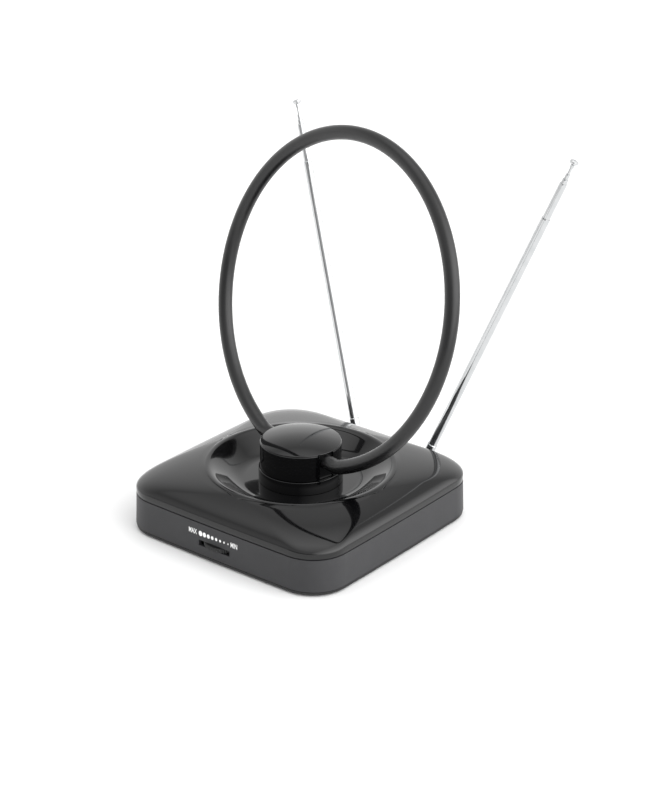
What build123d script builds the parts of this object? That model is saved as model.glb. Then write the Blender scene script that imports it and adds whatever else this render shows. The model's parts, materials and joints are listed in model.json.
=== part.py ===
"""Indoor television antenna: a square base with a gain wheel, a turret that carries a tilting loop,
and two telescopic rods hinged behind the base.

Millimetres. +Z is up, -Y is the front with the gain wheel, and the origin is the middle of the base
on the table. The rest pose has the loop leaning back and turned a little, and both rods leaning out.
"""
from build123d import *
import os
from math import acos, cos, radians, sin, sqrt

# ---------------------------------------------------------------- driving sizes, base
base_width = 160.0
base_depth = 162.0
corner_radius = 24.0
side_bulge = 1.0            # how far each side bows out between its corners
foot_height = 1.0           # the rubber feet stand this far below the bottom plate
plate_thickness = 1.8
plate_gap = 0.5             # shadow line between the bottom plate and the side shell
shell_top = 23.8
shell_draft = 0.5           # the shell is this much narrower at its top, on each side
wall = 2.2
cover_gap = 0.6             # shadow line between the side shell and the cover
cover_wall = 2.0
crown_height = 14.4         # from the cover's lower edge to the dish's rim
fit_clearance = 0.2         # between fixed pieces that locate each other
running_clearance = 0.06    # radial, between a shaft and its bore
moving_gap = 0.4            # between faces that pass each other

# ---------------------------------------------------------------- driving sizes, dish and turret
dish_radius = 60.0
dish_depth = 10.4
pedestal_radius = 26.4
turret_radius = 25.4
turret_seam = 37.2          # height of the line between the fixed pedestal and the turret
turret_top = 53.5
cap_height = 4.2
stem_radius = 8.0

# ---------------------------------------------------------------- driving sizes, loop
loop_radius = 102.0         # of the tube's centre line
loop_dip = 6.0              # the loop's full circle would reach this far below the tilt axis
loop_foot_radius = 18.5     # the bend where the tube turns in towards the turret
loop_tube_radius = 4.55
loop_wall = 1.0
tilt_axis_height = 48.0
loop_lean = 15.0            # degrees, backwards, at rest
turret_turn = -11.5         # degrees about +Z, at rest

# ---------------------------------------------------------------- driving sizes, rods
rod_spread = 28.0           # each rod pivot's distance from the middle plane
rod_pivot_gap = 13.0        # from the rear wall to the pivots, backwards
rod_pivot_height = 15.0
rod_splays = {"left": 21.5, "right": 20.7}      # degrees, outwards, at rest
rod_lean = 9.3              # degrees, backwards, at rest
tube_radii = [2.9, 2.45, 1.95, 1.45]
tip_rod_radius = 0.9
tube_wall = 0.3
mouth_stations = [185.0, 210.0, 213.0, 216.5]   # from the pivot to each tube's mouth at rest
tube_lengths = [174.0, 172.0, 168.0, 165.0]
tip_rod_length = 165.0
rod_length = 226.5          # from the pivot to the end of the cap at rest
crimp_length = 2.5
shoe_length = 5.0

# ---------------------------------------------------------------- driving sizes, gain wheel
wheel_radius = 14.0
wheel_thickness = 2.6
wheel_x = -1.5
wheel_height = 11.0
wheel_proud = 2.0
slot_length = 24.5
slot_height = 3.6

# ---------------------------------------------------------------- worked out
half_width = base_width / 2
half_depth = base_depth / 2
plate_bottom = foot_height
plate_top = plate_bottom + plate_thickness
shell_bottom = plate_top + plate_gap
cover_bottom = shell_top + cover_gap
crown = cover_bottom + crown_height
dish_floor = crown - dish_depth
dish_underside = dish_floor - cover_wall
loop_centre = loop_radius - loop_dip
rod_pivot_reach = half_depth + rod_pivot_gap
cavity_inset = shell_draft + wall
foot_inset = 24.0           # from each side to the middle of a foot
screw_share = 0.82          # the case screws stand this share of the way out to the feet
boss_radius = 4.5
boss_stop = 4.0             # the screw bosses end this far below the shell's top
board_rise = 4.2            # from the bottom plate to the board's upper face
board_top = plate_top + board_rise
wheel_y = -half_depth + wheel_radius - wheel_proud


def bowed_square(x, y, bulge, rounding):
    """Draw four sides at half lengths x and y that bow out by bulge, with rounded corners."""
    with BuildLine() as sides:
        ThreePointArc((-x, -y), (0, -y - bulge), (x, -y))
        ThreePointArc((x, -y), (x + bulge, 0), (x, y))
        ThreePointArc((x, y), (0, y + bulge), (-x, y))
        ThreePointArc((-x, y), (-x - bulge, 0), (-x, -y))
    make_face(sides.edges())
    fillet(vertices(), rounding)


def base_outline(inset, rounding=0.0):
    """Draw the base's outline, drawn in by inset."""
    x = half_width - side_bulge - inset
    y = half_depth - side_bulge - inset
    bowed_square(x, y, side_bulge, corner_radius + rounding)


def turned(plane, points):
    """Revolve a closed profile about the plane's own Y axis: x is the radius, y runs along it."""
    with BuildSketch(plane) as profile:
        with BuildLine():
            Polyline(*points, close=True)
        make_face()
    revolve(profile.sketch, axis=Axis(plane.origin, plane.y_dir))


parts = {}


def keep(builder, name):
    """Label a finished piece and remember it for export."""
    builder.part.label = name
    parts[name] = builder.part


upright = Plane.XZ          # x is the radius and y is the height, for pieces turned about +Z

# ================================================================ base
foot_x = half_width - foot_inset
foot_y = half_depth - foot_inset
corner_spots = [(x, y) for x in (-foot_x, foot_x) for y in (-foot_y, foot_y)]
foot_spots = corner_spots + [(0.0, 0.0)]
foot_radius = 7.5
foot_seat = 0.8
screw_head_radius = 3.4
screw_shank_radius = 1.45
screw_spots = [(x * screw_share, y * screw_share) for x, y in corner_spots]
plate_inset = 0.3
plate_chamfer = 0.5
inner_corner = -2.0         # change of corner radius for outlines inside the walls
rim_width = 1.4
rim_height = 3.0
foot_chamfer = 0.3

with BuildPart() as bottom_plate:
    with BuildSketch(Plane.XY.offset(plate_bottom)):
        base_outline(plate_inset)
    extrude(amount=plate_thickness)
    chamfer(bottom_plate.faces().sort_by(Axis.Z)[0].edges(), plate_chamfer)
    with BuildSketch(Plane.XY.offset(plate_top)):
        base_outline(cavity_inset + fit_clearance, inner_corner)
        inner_rim = offset(amount=-rim_width, mode=Mode.PRIVATE)
        add(inner_rim, mode=Mode.SUBTRACT)
    extrude(amount=rim_height)
    with BuildSketch(Plane.XY.offset(plate_bottom)):
        with Locations(*foot_spots):
            Circle(foot_radius + fit_clearance)
    extrude(amount=foot_seat, mode=Mode.SUBTRACT)
    with BuildSketch(Plane.XY.offset(plate_bottom)):
        with Locations(*screw_spots):
            Circle(screw_head_radius + fit_clearance)
    extrude(amount=foot_seat, mode=Mode.SUBTRACT)
    with BuildSketch(Plane.XY.offset(plate_bottom)):
        with Locations(*screw_spots):
            Circle(screw_shank_radius + fit_clearance)
    extrude(amount=plate_thickness, mode=Mode.SUBTRACT)
keep(bottom_plate, "bottom_plate")

with BuildPart() as rubber_feet:
    with BuildSketch(Plane.XY):
        with Locations(*foot_spots):
            Circle(foot_radius)
    extrude(amount=foot_height + foot_seat)
    chamfer(rubber_feet.faces().sort_by(Axis.Z)[: len(foot_spots)].edges(), foot_chamfer)
keep(rubber_feet, "rubber_feet")

bush_radius = 4.5
bush_flange = 2.0           # the bush's flange is this much larger in radius
bush_seat_depth = 1.2
bush_seat_y = half_depth - bush_seat_depth
socket_x = -9.0
jack_x = 10.0
connector_z = 12.5
socket_body_radius = 6.0
jack_half_width = 4.6
jack_half_height = 5.4
pilot_play = 0.25           # screw threads bite this deep into their pilot holes
pilot_depth = 11.0
rib_thickness = 1.6
rib_start = 3.6             # the ribs clear the bottom plate's rim
rib_end = 4.4
rib_bite = 0.6              # the ribs run this far into the wall
cut_past = 1.5              # cuts run this far past the faces they open

with BuildPart() as side_shell:
    with BuildSketch(Plane.XY.offset(shell_bottom)):
        base_outline(0)
    with BuildSketch(Plane.XY.offset(shell_top)):
        base_outline(shell_draft)
    loft(ruled=True)
    with BuildSketch(Plane.XY.offset(shell_bottom)):
        base_outline(cavity_inset, inner_corner)
    extrude(amount=shell_top - shell_bottom, mode=Mode.SUBTRACT)
    with BuildSketch(Plane.XY.offset(shell_bottom)):
        with Locations(*screw_spots):
            Circle(boss_radius)
    extrude(amount=shell_top - shell_bottom - boss_stop)
    for side_x, side_y in screw_spots:
        reach = half_width - cavity_inset + rib_bite - abs(side_x)
        middle = side_x + (reach / 2 if side_x > 0 else -reach / 2)
        with BuildSketch(Plane.XY.offset(shell_bottom + rib_start)):
            with Locations((middle, side_y)):
                Rectangle(reach, rib_thickness)
        extrude(amount=shell_top - shell_bottom - rib_start - rib_end)
    with BuildSketch(Plane.XY.offset(shell_bottom)):
        with Locations(*screw_spots):
            Circle(screw_shank_radius - pilot_play)
    extrude(amount=pilot_depth, mode=Mode.SUBTRACT)
    with BuildSketch(Plane.XZ.offset(half_depth - wall - cut_past)):
        with Locations((wheel_x, wheel_height)):
            Rectangle(slot_length, slot_height)
    extrude(amount=wall + 2 * cut_past, mode=Mode.SUBTRACT)
    with BuildSketch(Plane.XZ.offset(-half_depth + wall + cut_past)):
        with Locations((-rod_spread, rod_pivot_height), (rod_spread, rod_pivot_height)):
            Circle(bush_radius + fit_clearance)
        with Locations((socket_x, connector_z)):
            Circle(socket_body_radius + fit_clearance)
        with Locations((jack_x, connector_z)):
            Rectangle(2 * (jack_half_width + fit_clearance), 2 * (jack_half_height + fit_clearance))
    extrude(amount=-wall - 2 * cut_past, mode=Mode.SUBTRACT)
    with BuildSketch(Plane.XZ.offset(-bush_seat_y)):
        with Locations((-rod_spread, rod_pivot_height), (rod_spread, rod_pivot_height)):
            Circle(bush_radius + bush_flange + fit_clearance)
    extrude(amount=-bush_seat_depth - cut_past, mode=Mode.SUBTRACT)
keep(side_shell, "side_shell")

thread_gap = 0.3            # the screws are drawn at their core, this much under the shank
head_lift = 0.1
point_length = 0.8
case_screw_end = 11.0

with BuildPart() as case_screws:
    for x, y in screw_spots:
        turned(
            Plane(origin=(x, y, plate_bottom), x_dir=(1, 0, 0), z_dir=(0, -1, 0)),
            [
                (0, head_lift),
                (screw_head_radius, head_lift),
                (screw_head_radius, foot_seat),
                (screw_shank_radius - thread_gap, foot_seat),
                (screw_shank_radius - thread_gap, case_screw_end),
                (0, case_screw_end + point_length),
            ],
        )
keep(case_screws, "case_screws")

# The crown falls from the dish's rim to an upright band at its edge. Its plan widens evenly from a
# circle to the base's outline while its height drops, slowly at first and steeply at the shoulder.
rim_drop = 0.2              # the slope starts this far below the rim's top
band_height = 3.0
slope_fall = 5.8            # the even part of the fall
shoulder_power = 4          # how late the rest of the fall comes
crown_shares = [0.1, 0.4, 0.62, 0.76, 0.86, 0.93, 0.97, 0.992, 1.0]
cover_edge_wall = 3.2
crown_fall = crown_height - rim_drop - band_height


def fallen(share):
    """The crown's drop at a share of the way from the dish's rim circle to the edge band."""
    return slope_fall * share + (crown_fall - slope_fall) * (1 - sqrt(1 - share**shoulder_power))


def between(start, end, share):
    """The value a share of the way from start to end."""
    return start + (end - start) * share


def crown_outline(share, inset):
    """Draw the crown's plan at a share of the way from the dish's rim circle to the edge band."""
    x = between(dish_radius, half_width - shell_draft - side_bulge, share) - inset
    y = between(dish_radius, half_depth - shell_draft - side_bulge, share) - inset
    bowed_square(x, y, share * side_bulge, between(dish_radius, corner_radius, share) - inset)


def crown_sections(inset, drop):
    """Stack the crown's plans from the dish's rim to the edge band, drawn in and lowered."""
    stack = []
    for share in crown_shares:
        with BuildSketch(Plane.XY.offset(crown - rim_drop - fallen(share) - drop)) as section:
            crown_outline(share, inset)
        stack.append(section.sketch)
    return stack


dish_edge = [
    (dish_radius + 2.0, -rim_drop - fallen(crown_shares[0])),
    (dish_radius, -rim_drop),
    (dish_radius - 1.4, 0.0),
    (dish_radius - 2.8, -0.027 * dish_depth),
    (dish_radius - 4.2, -0.09 * dish_depth),
    (dish_radius - 6.0, -0.186 * dish_depth),
    (dish_radius - 10.0, -0.43 * dish_depth),
    (dish_radius - 14.0, -0.67 * dish_depth),
    (dish_radius - 18.0, -0.86 * dish_depth),
    (dish_radius - 21.5, -0.968 * dish_depth),
    (dish_radius - 24.5, -dish_depth),
]
slope_start = (-1.0, slope_fall / (half_width - dish_radius))

bowl_side = 1.0             # the bowl's underside stands this much outside its face
pedestal_screw_inset = 8.4
pedestal_screw_circle = pedestal_radius - pedestal_screw_inset
pedestal_screw_count = 3
tongue_depth = 2.8
tongue_width = 1.6
stem_hole_play = 0.6
tongue_rise = 0.8
post_share = 0.32
post_x = between(dish_radius, half_width - shell_draft, post_share)
post_y = between(dish_radius, half_depth - shell_draft, post_share)
cover_post_spots = [(-post_x, 0.0), (post_x, 0.0), (0.0, post_y)]
cover_post_radius = 2.5
cover_post_drop = 6.0
cover_post_top = crown - rim_drop - fallen(post_share) - cover_wall / 2

with BuildPart() as top_cover:
    with BuildSketch(Plane.XY.offset(cover_bottom)):
        crown_outline(1.0, 0.0)
    extrude(amount=band_height)
    loft(crown_sections(0.0, 0.0), ruled=True)
    loft(crown_sections(cover_edge_wall, cover_wall), ruled=True, mode=Mode.SUBTRACT)
    with BuildSketch(Plane.XY.offset(cover_bottom)):
        crown_outline(1.0, cover_edge_wall)
    extrude(amount=band_height - cover_wall, mode=Mode.SUBTRACT)
    with BuildSketch(upright):
        with BuildLine():
            Spline(*[(r, crown + z) for r, z in dish_edge], tangents=(slope_start, (-1, 0)))
            Polyline(
                (dish_edge[-1][0], dish_floor),
                (0, dish_floor),
                (0, dish_underside),
                (dish_edge[-1][0] + bowl_side, dish_underside),
            )
            Spline(
                *[(r + bowl_side, crown + z - cover_wall) for r, z in dish_edge[::-1]],
                tangents=((1, 0), (-slope_start[0], -slope_start[1])),
            )
            Line(
                (dish_edge[0][0] + bowl_side, crown + dish_edge[0][1] - cover_wall),
                (dish_edge[0][0], crown + dish_edge[0][1]),
            )
        make_face()
    revolve(axis=Axis.Z)
    with BuildSketch(upright):
        with BuildLine():
            Spline(*[(r, crown + z) for r, z in dish_edge[2:]], tangents=((-1, 0), (-1, 0)))
            Polyline(
                (dish_edge[-1][0], dish_floor),
                (0, dish_floor),
                (0, crown + cut_past),
                (dish_edge[2][0], crown + cut_past),
                (dish_edge[2][0], crown),
            )
        make_face()
    revolve(axis=Axis.Z, mode=Mode.SUBTRACT)
    with BuildSketch(Plane.XY.offset(dish_underside - cut_past)):
        Circle(stem_radius + stem_hole_play)
        with PolarLocations(pedestal_screw_circle, pedestal_screw_count):
            Circle(screw_shank_radius + fit_clearance)
    extrude(amount=cover_wall + 2 * cut_past, mode=Mode.SUBTRACT)
    with BuildSketch(Plane.XY.offset(cover_bottom - tongue_depth)):
        base_outline(cavity_inset + fit_clearance, inner_corner)
        tongue = offset(amount=-tongue_width, mode=Mode.PRIVATE)
        add(tongue, mode=Mode.SUBTRACT)
    extrude(amount=tongue_depth + tongue_rise)
    with BuildSketch(Plane.XY.offset(cover_bottom - cover_post_drop)):
        with Locations(*cover_post_spots):
            Circle(cover_post_radius)
    extrude(amount=cover_post_top - cover_bottom + cover_post_drop)
keep(top_cover, "top_cover")

# ================================================================ pedestal under the turret
pedestal_top = turret_seam - moving_gap
pedestal_wall = 2.2
pedestal_roof = 2.4
pedestal_chamfer = 0.5
pedestal_seat = dish_floor + 0.05
collar_wall = 2.4
collar_lift = 3.0           # the collar round the stem stops this far above the dish's floor
screw_post_radius = 3.4
screw_post_stop = 1.0

with BuildPart() as pedestal:
    turned(
        upright,
        [
            (stem_radius + running_clearance, pedestal_top),
            (pedestal_radius - pedestal_chamfer, pedestal_top),
            (pedestal_radius, pedestal_top - pedestal_chamfer),
            (pedestal_radius, pedestal_seat),
            (pedestal_radius - pedestal_wall, pedestal_seat),
            (pedestal_radius - pedestal_wall, pedestal_top - pedestal_roof),
            (stem_radius + collar_wall, pedestal_top - pedestal_roof),
            (stem_radius + collar_wall, dish_floor + collar_lift),
            (stem_radius + running_clearance, dish_floor + collar_lift),
        ],
    )
    with BuildSketch(Plane.XY.offset(pedestal_seat)):
        with PolarLocations(pedestal_screw_circle, pedestal_screw_count):
            Circle(screw_post_radius)
    extrude(amount=pedestal_top - screw_post_stop - pedestal_seat)
    with BuildSketch(Plane.XY.offset(dish_floor)):
        with PolarLocations(pedestal_screw_circle, pedestal_screw_count):
            Circle(screw_shank_radius - pilot_play)
    extrude(amount=pedestal_top - pedestal_wall - dish_floor, mode=Mode.SUBTRACT)
keep(pedestal, "pedestal")

pan_top_radius = 2.6
pan_radius = 2.9
pan_height = 2.0
seat_gap = 0.05             # between a screw's head and the face under it
pedestal_screw_reach = pedestal_top - pedestal_wall - moving_gap - dish_underside

with BuildPart() as pedestal_screws:
    for spot in PolarLocations(pedestal_screw_circle, pedestal_screw_count).locations:
        x, y = spot.position.X, spot.position.Y
        turned(
            Plane(origin=(x, y, dish_underside), x_dir=(1, 0, 0), z_dir=(0, -1, 0)),
            [
                (0, -pan_height),
                (pan_top_radius, -pan_height),
                (pan_radius, -seat_gap),
                (screw_shank_radius - thread_gap, -seat_gap),
                (screw_shank_radius - thread_gap, pedestal_screw_reach - point_length),
                (0, pedestal_screw_reach),
            ],
        )
keep(pedestal_screws, "pedestal_screws")

# ================================================================ turret, turned about +Z at rest
turret_plane = Plane.XY.rotated((0, 0, turret_turn))
across = turret_plane.x_dir     # along the loop's tilt axis
ahead = turret_plane.y_dir
turret_wall = 2.2
tilt_bore = loop_tube_radius + running_clearance
block_depth = 9.4           # the bearing blocks run this far in from the turret's side
block_inner = turret_radius - block_depth
block_half = 6.6
block_inset = 1.2
block_rise = 3.0            # the blocks end this far above the tilt axis
weld = 0.2                  # overlap that joins one lump to the next
stem_drop = 4.2
stem_bottom = dish_underside - stem_drop
stem_floor = stem_bottom + 8.0
stem_wall = 2.4
stem_pilot_radius = 1.3
stem_pilot_depth = 9.0
turret_chamfer = 0.4
head_underside = turret_seam
head_floor = head_underside + turret_wall
pocket_depth = 1.5
pocket_half = loop_tube_radius + 0.75

with BuildPart() as turret:
    turned(
        upright,
        [
            (0, stem_floor),
            (0, stem_bottom),
            (stem_radius, stem_bottom),
            (stem_radius, head_underside),
            (turret_radius, head_underside),
            (turret_radius, turret_top - turret_chamfer),
            (turret_radius - turret_chamfer, turret_top),
            (turret_radius - turret_wall, turret_top),
            (turret_radius - turret_wall, head_floor),
            (stem_radius - stem_wall, head_floor),
            (stem_radius - stem_wall, stem_floor),
        ],
    )
    for side in (-1, 1):
        with BuildSketch(turret_plane.offset(head_floor - weld)):
            with Locations((side * (block_inner + turret_radius - block_inset) / 2, 0)):
                Rectangle(turret_radius - block_inset - block_inner, 2 * block_half)
        extrude(amount=tilt_axis_height + block_rise - head_floor + weld)
        wall_plane = Plane(origin=(0, 0, tilt_axis_height), x_dir=ahead * side, z_dir=across * side)
        with BuildSketch(wall_plane.offset(turret_radius - pocket_depth)):
            with Locations((0, (turret_seam + turret_top) / 2 - tilt_axis_height)):
                Rectangle(2 * pocket_half, turret_top - turret_seam + cut_past)
        extrude(amount=pocket_depth + cut_past, mode=Mode.SUBTRACT)
        with BuildSketch(wall_plane.offset(block_inner - cut_past)):
            Circle(tilt_bore)
        extrude(amount=turret_radius, mode=Mode.SUBTRACT)
    with BuildSketch(Plane.XY.offset(stem_bottom)):
        Circle(stem_pilot_radius)
    extrude(amount=stem_pilot_depth, mode=Mode.SUBTRACT)
keep(turret, "turret")

cap_seat = turret_top + 0.1
cap_radius = turret_radius - 0.3
cap_edge = 0.6
cap_register = 0.7
cap_register_wall = 1.4
dome_radius = (cap_radius**2 + (cap_height - cap_edge) ** 2) / (2 * (cap_height - cap_edge))
dome_middle = cap_seat + cap_height - dome_radius + sqrt(dome_radius**2 - cap_radius**2 / 4)
with BuildPart() as turret_cap:
    with BuildSketch(upright):
        with BuildLine():
            Line((0, cap_seat), (cap_radius, cap_seat))
            Line((cap_radius, cap_seat), (cap_radius, cap_seat + cap_edge))
            ThreePointArc(
                (cap_radius, cap_seat + cap_edge),
                (cap_radius / 2, dome_middle),
                (0, cap_seat + cap_height),
            )
            Line((0, cap_seat + cap_height), (0, cap_seat))
        make_face()
    revolve(axis=Axis.Z)
    with BuildSketch(Plane.XY.offset(cap_seat)):
        Circle(turret_radius - turret_wall - fit_clearance)
        Circle(turret_radius - turret_wall - fit_clearance - cap_register_wall, mode=Mode.SUBTRACT)
    extrude(amount=-cap_register)
keep(turret_cap, "turret_cap")

swivel_washer_radius = 11.5
swivel_washer_thickness = 0.9
swivel_washer_top = dish_underside - moving_gap
with BuildPart() as swivel_washer:
    turned(
        upright,
        [
            (stem_radius + running_clearance, swivel_washer_top - swivel_washer_thickness),
            (swivel_washer_radius, swivel_washer_top - swivel_washer_thickness),
            (swivel_washer_radius, swivel_washer_top),
            (stem_radius + running_clearance, swivel_washer_top),
        ],
    )
keep(swivel_washer, "swivel_washer")

washer_bore = 2.2
washer_radius = 11.0
washer_thickness = 1.5
washer_top = stem_bottom - seat_gap
with BuildPart() as retaining_washer:
    turned(
        upright,
        [
            (washer_bore, washer_top - washer_thickness),
            (washer_radius, washer_top - washer_thickness),
            (washer_radius, washer_top),
            (washer_bore, washer_top),
        ],
    )
keep(retaining_washer, "retaining_washer")

stem_screw_seat = washer_top - washer_thickness - seat_gap
stem_screw_core = stem_pilot_radius - seat_gap
stem_screw_end = stem_bottom + 7.0
with BuildPart() as stem_screw:
    turned(
        upright,
        [
            (0, stem_screw_seat - pan_height),
            (screw_head_radius - fit_clearance, stem_screw_seat - pan_height),
            (screw_head_radius, stem_screw_seat),
            (stem_screw_core, stem_screw_seat),
            (stem_screw_core, stem_screw_end),
            (0, stem_screw_end + point_length),
        ],
    )
keep(stem_screw, "stem_screw")

# ================================================================ loop
tilt_up = Vector(0, 0, 1) * cos(radians(loop_lean)) + ahead * sin(radians(loop_lean))
loop_plane = Plane(
    origin=(0, 0, tilt_axis_height), x_dir=across, z_dir=across.cross(tilt_up)
)
foot_angle = acos((loop_centre - loop_foot_radius) / (loop_radius - loop_foot_radius))
foot_x = (loop_radius - loop_foot_radius) * sin(foot_angle)
join_x = loop_radius * sin(foot_angle)
join_y = loop_centre - loop_radius * cos(foot_angle)
foot_mid_x = foot_x + loop_foot_radius * sin(foot_angle / 2)
foot_mid_y = loop_foot_radius * (1 - cos(foot_angle / 2))
loop_end = block_inner + pocket_depth
plug_shaft_radius = 2.0
plug_shaft_length = 8.0
plug_shaft_end = block_inner - plug_shaft_length
plug_flange = 1.2
plug_play = 0.02
plug_depth = 7.0

with BuildPart() as loop_tube:
    with BuildLine(loop_plane) as loop_path:
        Line((loop_end, 0), (foot_x, 0))
        ThreePointArc((foot_x, 0), (foot_mid_x, foot_mid_y), (join_x, join_y))
        ThreePointArc((join_x, join_y), (0, loop_centre + loop_radius), (-join_x, join_y))
        ThreePointArc((-join_x, join_y), (-foot_mid_x, foot_mid_y), (-foot_x, 0))
        Line((-foot_x, 0), (-loop_end, 0))
    loop_mouth = loop_plane.from_local_coords((loop_end, 0, 0))
    with BuildSketch(Plane(origin=loop_mouth, x_dir=ahead, z_dir=across)):
        Circle(loop_tube_radius)
        Circle(loop_tube_radius - loop_wall, mode=Mode.SUBTRACT)
    sweep(path=loop_path.wires()[0])
keep(loop_tube, "loop_tube")

for side, side_name in ((-1, "left"), (1, "right")):
    with BuildPart() as end_plug:
        turned(
            Plane(origin=(0, 0, tilt_axis_height), x_dir=(0, 0, 1), z_dir=ahead * side),
            [
                (0, plug_shaft_end),
                (plug_shaft_radius, plug_shaft_end),
                (plug_shaft_radius, loop_end - plug_flange),
                (loop_tube_radius - running_clearance, loop_end - plug_flange),
                (loop_tube_radius - running_clearance, loop_end),
                (loop_tube_radius - loop_wall - plug_play, loop_end),
                (loop_tube_radius - loop_wall - plug_play, loop_end + plug_depth),
                (0, loop_end + plug_depth),
            ],
        )
    keep(end_plug, side_name + "_loop_plug")

# ================================================================ contact springs inside the turret
spring_thickness = 0.4
spring_width = 3.0
spring_foot = 8.6           # from the tilt axis down to the spring's foot
spring_inset = 5.0
spring_station = block_inner - spring_inset
spring_bore = plug_shaft_radius + running_clearance

for side, side_name in ((-1, "left"), (1, "right")):
    spring_plane = Plane(
        origin=across * side * spring_station + Vector(0, 0, tilt_axis_height),
        x_dir=ahead * side,
        z_dir=across * side,
    )
    with BuildPart() as contact_spring:
        with BuildSketch(spring_plane.offset(-spring_width / 2)):
            with Locations((0, -spring_foot / 2)):
                Rectangle(2 * (spring_bore + spring_thickness), spring_foot)
            Circle(spring_bore + spring_thickness)
            Circle(spring_bore, mode=Mode.SUBTRACT)
            with Locations((0, -spring_foot / 2 + spring_thickness / 2)):
                Rectangle(2 * spring_bore, spring_foot - spring_thickness, mode=Mode.SUBTRACT)
        extrude(amount=spring_width)
    keep(contact_spring, side_name + "_contact_spring")

# ================================================================ electronics in the base
board_thickness = 1.6
board_margin = 3.42         # between the board and the screw bosses
board_setback = 3.2         # between the board and the front wall
board_width = 2 * (screw_spots[-1][0] - boss_radius - board_margin)
board_front = -half_depth + wall + board_setback
board_length = 36.0
board_corner = 2.0
standoff_inset = 4.0
standoff_front_inset = 9.0
standoff_radius = 3.0
standoff_pilot = 1.0
board_hole = 1.2
board_screw_core = 0.9
board_screw_head = 2.0
board_screw_top = 1.6       # both the radius and the height of the head's flat top
board_screw_end = 3.3
board_screw_point = 0.5
board_bottom = board_top - board_thickness
board_middle_y = board_front + board_length / 2
standoff_spots = [
    (x, board_middle_y + y)
    for x in (-board_width / 2 + standoff_inset, board_width / 2 - standoff_inset)
    for y in (-board_length / 2 + standoff_front_inset, board_length / 2 - standoff_inset)
]

with BuildPart() as board_standoffs:
    with BuildSketch(Plane.XY.offset(plate_top)):
        with Locations(*standoff_spots):
            Circle(standoff_radius)
            Circle(standoff_pilot, mode=Mode.SUBTRACT)
    extrude(amount=board_bottom - plate_top)
keep(board_standoffs, "board_standoffs")

with BuildPart() as circuit_board:
    with BuildSketch(Plane.XY.offset(board_bottom)):
        with Locations((0, board_middle_y)):
            RectangleRounded(board_width, board_length, board_corner)
        with Locations(*standoff_spots):
            Circle(board_hole, mode=Mode.SUBTRACT)
    extrude(amount=board_thickness)
keep(circuit_board, "circuit_board")

with BuildPart() as board_screws:
    for x, y in standoff_spots:
        turned(
            Plane(origin=(x, y, board_top), x_dir=(1, 0, 0), z_dir=(0, -1, 0)),
            [
                (0, board_screw_top),
                (board_screw_top, board_screw_top),
                (board_screw_head, seat_gap),
                (board_screw_core, seat_gap),
                (board_screw_core, -board_screw_end),
                (0, -board_screw_end - board_screw_point),
            ],
        )
keep(board_screws, "board_screws")

shield_gap = 2.0            # between the shield and the gain wheel
shield_margin = 8.5         # from the board's end to the shield
shield_left = wheel_x + wheel_radius + shield_gap
shield_right = board_width / 2 - shield_margin
shield_x = (shield_left + shield_right) / 2
shield_width = shield_right - shield_left
shield_length = 18.0
shield_height = 6.0
shield_corner = 1.0
shield_sheet = 0.4
part_seat = board_top + seat_gap
with BuildPart() as shield_can:
    with BuildSketch(Plane.XY.offset(part_seat)):
        with Locations((shield_x, board_middle_y)):
            Rectangle(shield_width, shield_length)
    extrude(amount=shield_height)
    fillet(shield_can.edges().filter_by(Axis.Z), shield_corner)
    offset(amount=-shield_sheet, openings=shield_can.faces().sort_by(Axis.Z)[0])
keep(shield_can, "shield_can")

wheel_bottom = wheel_height - wheel_thickness / 2
gain_spindle_radius = 3.0
gain_body = 13.0
gain_corner = 1.5
with BuildPart() as gain_control:
    with BuildSketch(Plane.XY.offset(part_seat)):
        with Locations((wheel_x, wheel_y)):
            RectangleRounded(gain_body, gain_body, gain_corner)
            Circle(gain_spindle_radius + running_clearance, mode=Mode.SUBTRACT)
    extrude(amount=wheel_bottom - moving_gap - part_seat)
keep(gain_control, "gain_control")

ridge_count = 48
ridge_depth = 0.45
hub_recess_radius = 1.8
hub_recess_depth = 0.6
hub_bottom = board_top + 0.3
with BuildPart() as gain_wheel:
    with BuildSketch(Plane.XY.offset(wheel_bottom)):
        with Locations((wheel_x, wheel_y)):
            Circle(wheel_radius)
            with PolarLocations(wheel_radius, ridge_count):
                RegularPolygon(ridge_depth, 4, mode=Mode.SUBTRACT)
    extrude(amount=wheel_thickness)
    with BuildSketch(Plane.XY.offset(hub_bottom)):
        with Locations((wheel_x, wheel_y)):
            Circle(gain_spindle_radius)
    extrude(amount=wheel_bottom - hub_bottom)
    with BuildSketch(Plane.XY.offset(wheel_bottom + wheel_thickness - hub_recess_depth)):
        with Locations((wheel_x, wheel_y)):
            Circle(hub_recess_radius)
    extrude(amount=hub_recess_depth, mode=Mode.SUBTRACT)
keep(gain_wheel, "gain_wheel")

ballast_width = board_width + 2.0
ballast_length = half_depth - 25.0
ballast_height = 5.0
ballast_y = 12.0
ballast_corner = 4.0
ballast_chamfer = 0.6
with BuildPart() as ballast_plate:
    with BuildSketch(Plane.XY.offset(plate_top + seat_gap)):
        with Locations((0, ballast_y)):
            RectangleRounded(ballast_width, ballast_length, ballast_corner)
    extrude(amount=ballast_height)
    chamfer(ballast_plate.faces().sort_by(Axis.Z)[-1].edges(), ballast_chamfer)
keep(ballast_plate, "ballast_plate")

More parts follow.
